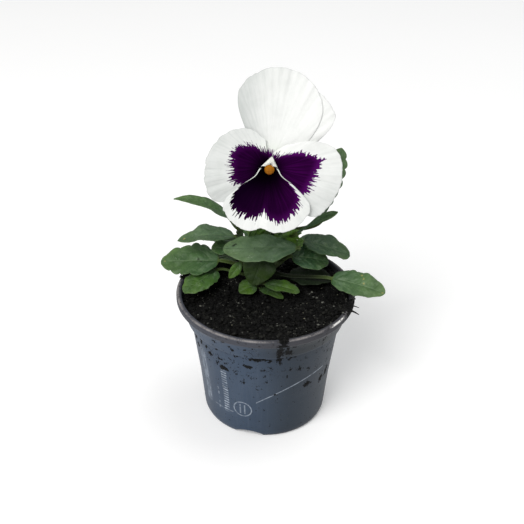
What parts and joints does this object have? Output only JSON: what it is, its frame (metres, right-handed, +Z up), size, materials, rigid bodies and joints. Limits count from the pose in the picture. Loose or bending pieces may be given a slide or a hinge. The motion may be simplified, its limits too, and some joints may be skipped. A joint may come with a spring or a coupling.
{
  "type": "potted horned violet",
  "caption": "Horned violet with one large white and dark-blotched bloom, slender stalk and scalloped leaves, in a round plastic nursery pot of soil.",
  "frame": {"origin": "centre of the pot's underside, on the surface that it stands on", "axes": "+Z up along the pot's axis; the bloom faces -Y, so +Y is the plant's back and +X is to the right seen from the front"},
  "size_m": [0.1139, 0.0954, 0.1805],
  "materials": {
    "pot_plastic": "satin blue-grey moulded plastic",
    "potting_soil": "crumbly near-black peat with fine fibres",
    "green_stem": "smooth fresh green stem",
    "leaf_green": "veined satin leaf",
    "white_petal": "soft velvety petal, white with dark purple blotches",
    "orange_eye": "matt yellow-orange"
  },
  "bodies": {
    "root": {"calyx": "leaf_green", "crown_stems": "green_stem", "flower_bud": "leaf_green", "flower_stalk": "green_stem", "leaf_back_high_left": "leaf_green", "leaf_back_high_right": "leaf_green", "leaf_back_left": "leaf_green", "leaf_back_low_left": "leaf_green", "leaf_back_low_mid": "leaf_green", "leaf_back_low_right": "leaf_green", "leaf_back_mid": "leaf_green", "leaf_back_right": "leaf_green", "leaf_behind_broad": "leaf_green", "leaf_front_broad": "leaf_green", "leaf_front_pointed": "leaf_green", "leaf_front_shaded": "leaf_green", "leaf_left_front": "leaf_green", "leaf_left_high": "leaf_green", "leaf_left_low": "leaf_green", "leaf_left_mid": "leaf_green", "leaf_left_small": "leaf_green", "leaf_right_high": "leaf_green", "leaf_right_mid": "leaf_green", "leaf_right_rim": "leaf_green", "leaf_right_shaded": "leaf_green", "leaf_right_slim": "leaf_green", "leaf_right_tall": "leaf_green", "leaf_soil_left": "leaf_green", "leaf_soil_mid": "leaf_green", "leaf_soil_right": "leaf_green", "petal_left": "white_petal", "petal_lower": "white_petal", "petal_right": "white_petal", "petal_upper_back": "white_petal", "petal_upper_front": "white_petal", "pistil": "orange_eye", "pot": "pot_plastic", "soil": "potting_soil"}
  },
  "joints": []
}
